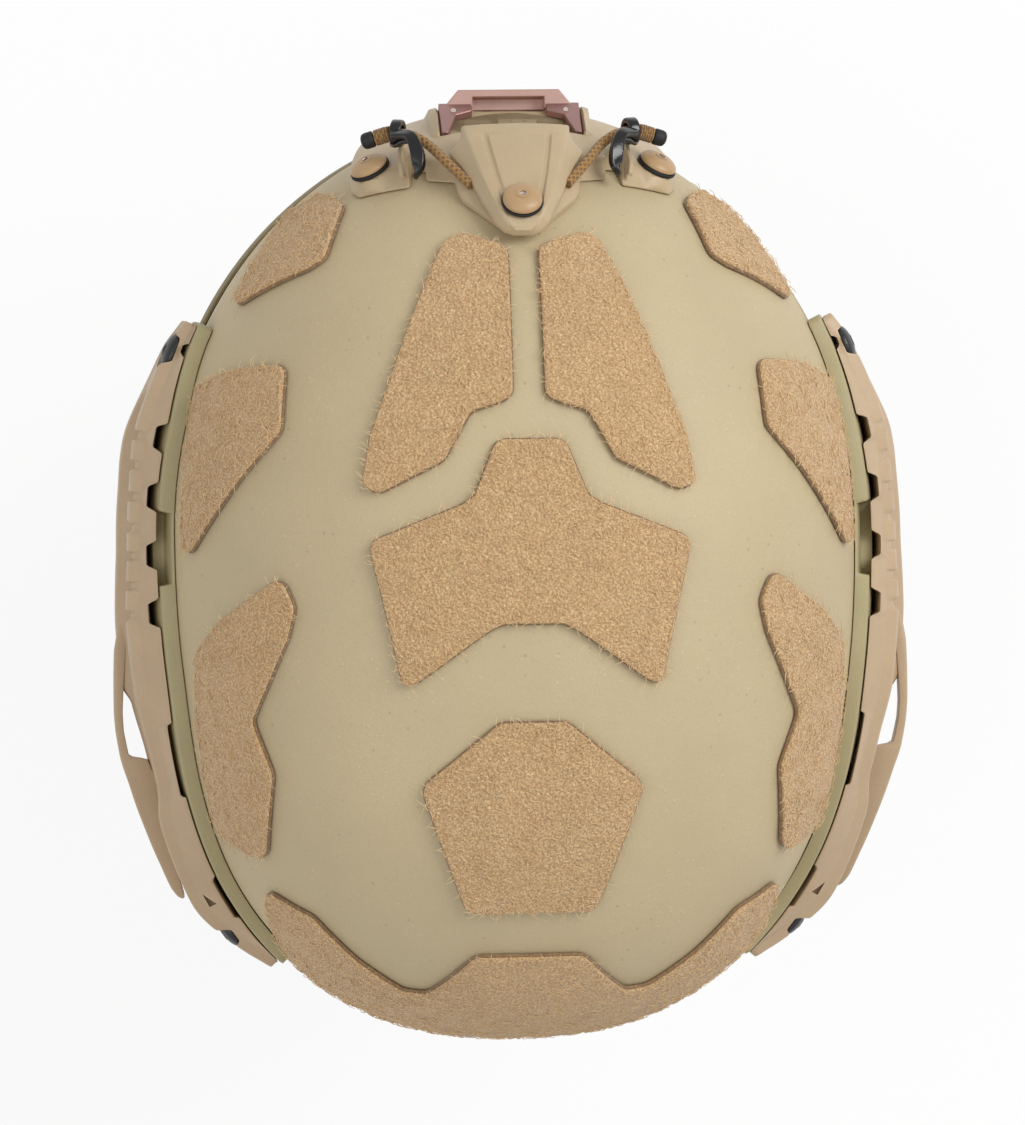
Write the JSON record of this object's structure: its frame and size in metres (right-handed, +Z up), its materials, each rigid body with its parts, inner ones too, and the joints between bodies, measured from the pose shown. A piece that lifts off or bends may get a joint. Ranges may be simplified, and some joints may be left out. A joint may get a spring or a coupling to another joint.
{
  "type": "combat helmet",
  "caption": "High cut combat helmet with side accessory rails, front night vision mount with elastic cords, loop patches, padded liner, fit dial and chin harness.",
  "frame": {"origin": "centre of the head cavity, level with the widest line of the shell", "axes": "+Z up to the crown, -Y to the brow and front mount, +X to the wearer's left"},
  "size_m": [0.245, 0.2897, 0.2772],
  "materials": {
    "shell_paint": "fine textured satin tan paint on a laminate shell",
    "trim_rubber": "matt moulded rubber",
    "backer_polymer": "satin polymer",
    "rail_polymer": "fine grained semi satin polymer",
    "black_hardware": "black oxide",
    "tan_hardware": "tan coated steel",
    "black_rubber": "matt rubber",
    "mount_polymer": "fine grained polymer",
    "anodised_plate": "satin pinkish tan anodising",
    "loop_patch": "napped loop fabric",
    "elastic_cord": "braided elastic cord",
    "black_plastic": "gloss black polymer",
    "pad_cloth": "knitted cloth over foam",
    "hook_disc": "hook fabric",
    "dark_plastic": "satin black polymer",
    "pinion_plastic": "acetal",
    "hanger_strip": "flexible strip",
    "webbing": "woven webbing",
    "cup_suede": "suede over foam"
  },
  "bodies": {
    "helmet": {"shell": "shell_paint", "edge_trim": "trim_rubber", "left_rail_backer": "backer_polymer", "right_rail_backer": "backer_polymer", "left_rail": "rail_polymer", "right_rail": "rail_polymer", "rail_screws": "black_hardware", "rail_nuts": "black_hardware", "front_bracket": "mount_polymer", "shroud_cover": "mount_polymer", "shroud_plate": "anodised_plate", "shroud_screws": "tan_hardware", "shroud_washers": "black_rubber", "shroud_nuts": "black_hardware", "front_left_patch": "loop_patch", "front_right_patch": "loop_patch", "crown_patch": "loop_patch", "rear_crown_patch": "loop_patch", "left_brow_patch": "loop_patch", "right_brow_patch": "loop_patch", "left_upper_patch": "loop_patch", "right_upper_patch": "loop_patch", "left_lower_patch": "loop_patch", "right_lower_patch": "loop_patch", "nape_patch": "loop_patch", "left_lanyard": "elastic_cord", "right_lanyard": "elastic_cord", "cord_stops": "black_rubber", "crown_pad": "pad_cloth", "front_pad": "pad_cloth", "rear_pad": "pad_cloth", "left_front_pad": "pad_cloth", "left_rear_pad": "pad_cloth", "right_front_pad": "pad_cloth", "right_rear_pad": "pad_cloth", "pad_discs": "hook_disc", "dial_housing": "dark_plastic", "dial_cover": "dark_plastic", "nape_cushion": "pad_cloth", "yoke_hanger": "hanger_strip", "front_left_strap": "webbing", "front_right_strap": "webbing", "rear_left_strap": "webbing", "rear_right_strap": "webbing", "strap_anchors": "black_hardware", "strap_joiners": "dark_plastic", "left_lower_strap": "webbing", "right_lower_strap": "webbing", "chin_cup": "cup_suede", "buckle_socket": "dark_plastic", "tongue_strap": "webbing"},
    "dial": {"fit_dial": "dark_plastic", "dial_pinion": "pinion_plastic"},
    "left_band_arm": {"left_band": "dark_plastic"},
    "right_band_arm": {"right_band": "dark_plastic"},
    "left_hook_body": {"left_hook": "black_plastic"},
    "right_hook_body": {"right_hook": "black_plastic"},
    "tongue": {"buckle_tongue": "dark_plastic"},
    "left_slider": {"left_adjuster": "dark_plastic"},
    "right_slider": {"right_adjuster": "dark_plastic"}
  },
  "joints": [
    {"name": "dial_turn", "type": "hinge", "parent": "helmet", "child": "dial", "pos_m": [0, 0.11, -0.084], "axis": [0, 1, 0], "range_deg": [0, 91.66]},
    {"name": "left_band_slide", "type": "slide", "parent": "helmet", "child": "left_band_arm", "axis": [-1, 0, 0], "range_m": [0, 0.01]},
    {"name": "right_band_slide", "type": "slide", "parent": "helmet", "child": "right_band_arm", "axis": [1, 0, 0], "range_m": [0, 0.01]},
    {"name": "left_hook_swing", "type": "hinge", "parent": "helmet", "child": "left_hook_body", "pos_m": [0.03523, -0.12037, 0.0583], "axis": [0.9497, -0.0812, -0.3025], "range_deg": [0, 35]},
    {"name": "right_hook_swing", "type": "hinge", "parent": "helmet", "child": "right_hook_body", "pos_m": [-0.03523, -0.12037, 0.0583], "axis": [0.9497, 0.0812, 0.3025], "range_deg": [0, 35]},
    {"name": "buckle_pull", "type": "slide", "parent": "helmet", "child": "tongue", "axis": [-0.4963, -0.7064, -0.5047], "range_m": [0, 0.014]},
    {"name": "left_adjuster_slide", "type": "slide", "parent": "helmet", "child": "left_slider", "axis": [0, -0.8455, -0.534], "range_m": [-0.008, 0.008]},
    {"name": "right_adjuster_slide", "type": "slide", "parent": "helmet", "child": "right_slider", "axis": [0, -0.8455, -0.534], "range_m": [-0.008, 0.008]}
  ],
  "couplings": [
    {"joint": "left_band_slide", "follows": "dial_turn", "m_per_rad": 0.00625},
    {"joint": "right_band_slide", "follows": "dial_turn", "m_per_rad": 0.00625}
  ]
}
